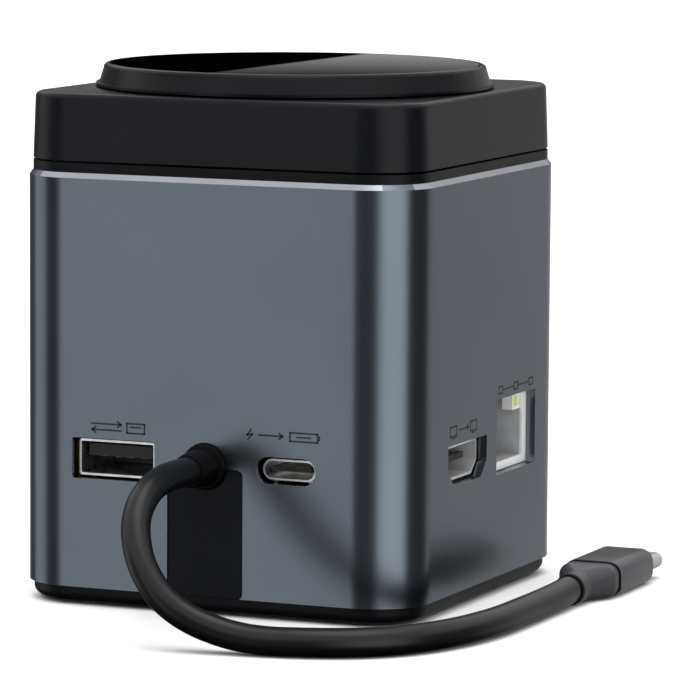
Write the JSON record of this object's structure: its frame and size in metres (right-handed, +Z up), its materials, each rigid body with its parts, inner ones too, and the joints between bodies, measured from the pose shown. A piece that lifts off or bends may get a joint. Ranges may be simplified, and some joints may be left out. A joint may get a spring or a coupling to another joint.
{
  "type": "laptop docking station",
  "caption": "Square aluminium tower dock with data, power, video and network sockets, a captive lead with an oval plug, and a round charging pad that tilts up on a friction hinge.",
  "frame": {"origin": "on the desk, under the middle of the tower", "axes": "+Z up; -Y is the face with the data socket, the lead and the power socket; +X is the face with the video and network sockets; +Y is the plain face towards the user"},
  "size_m": [0.0864, 0.0992, 0.0837],
  "materials": {
    "anodised_sleeve": "blue-grey satin anodised, fine bead-blasted grain, bright cut bevel",
    "black_plastic": "fine matt moulded",
    "black_rubber": "matt",
    "screw_steel": "zinc plated",
    "satin_lid": "satin black with a soft sheen",
    "hinge_steel": "black satin",
    "pad_glass": "gloss, black backed",
    "circuit_board": "solder mask",
    "ferrite": "dark sintered",
    "copper": "enamelled wire",
    "magnet": "nickel plated",
    "socket_steel": "bright drawn sheet",
    "socket_plastic": "moulded",
    "gold_contact": "gold flashed",
    "jack_liner": "grey satin lining",
    "light_block": "milky light guide",
    "light_window": "yellow-green light window",
    "insert_plastic": "smooth satin black",
    "lead_rubber": "satin moulded rubber",
    "neck_plastic": "satin dark grey",
    "plug_metal": "grey satin anodised",
    "chip_black": "moulded epoxy",
    "brass": "turned",
    "capacitor_can": "bright can",
    "thermal_pad": "soft matt",
    "spreader_aluminium": "extruded",
    "ribbon_film": "amber film"
  },
  "bodies": {
    "tower": {"body_sleeve": "anodised_sleeve", "base_plate": "black_plastic", "rubber_feet": "black_rubber", "base_screws": "screw_steel", "top_band": "black_plastic", "band_screws": "screw_steel", "lid": "satin_lid", "lid_screws": "screw_steel", "hinge_bracket": "hinge_steel", "hinge_screws": "screw_steel", "hinge_pin": "screw_steel", "pad_bumpers": "black_rubber", "data_socket": "socket_steel", "data_tongue": "socket_plastic", "data_contacts": "gold_contact", "power_socket": "socket_steel", "power_tongue": "socket_plastic", "power_contacts": "gold_contact", "video_socket": "socket_steel", "video_tongue": "socket_plastic", "video_contacts": "gold_contact", "network_shield": "socket_steel", "network_liner": "jack_liner", "network_contacts": "gold_contact", "network_light_blocks": "light_block", "network_light": "light_window", "cable_insert": "insert_plastic", "cable_collar": "lead_rubber", "lead": "lead_rubber", "plug_rings": "black_rubber", "plug_neck": "neck_plastic", "plug_housing": "plug_metal", "plug_shell": "socket_steel", "plug_tongue": "socket_plastic", "main_board": "circuit_board", "main_board_chips": "chip_black", "network_transformer": "chip_black", "board_link": "socket_plastic", "lower_standoffs": "brass", "middle_standoffs": "brass", "upper_standoffs": "brass", "power_board": "circuit_board", "power_chips": "chip_black", "power_coils": "ferrite", "power_capacitors": "capacitor_can", "thermal_pads": "thermal_pad", "heat_spreader": "spreader_aluminium", "pad_ribbon": "ribbon_film"},
    "pad": {"pad_base": "satin_lid", "pad_glass": "pad_glass", "pad_board": "circuit_board", "coil_ferrite": "ferrite", "charging_coil": "copper", "pad_magnets": "magnet"}
  },
  "joints": [
    {"name": "pad_tilt", "type": "hinge", "parent": "tower", "child": "pad", "pos_m": [0, 0.03, 0.08125], "axis": [-1, 0, 0], "range_deg": [0, 60]}
  ]
}
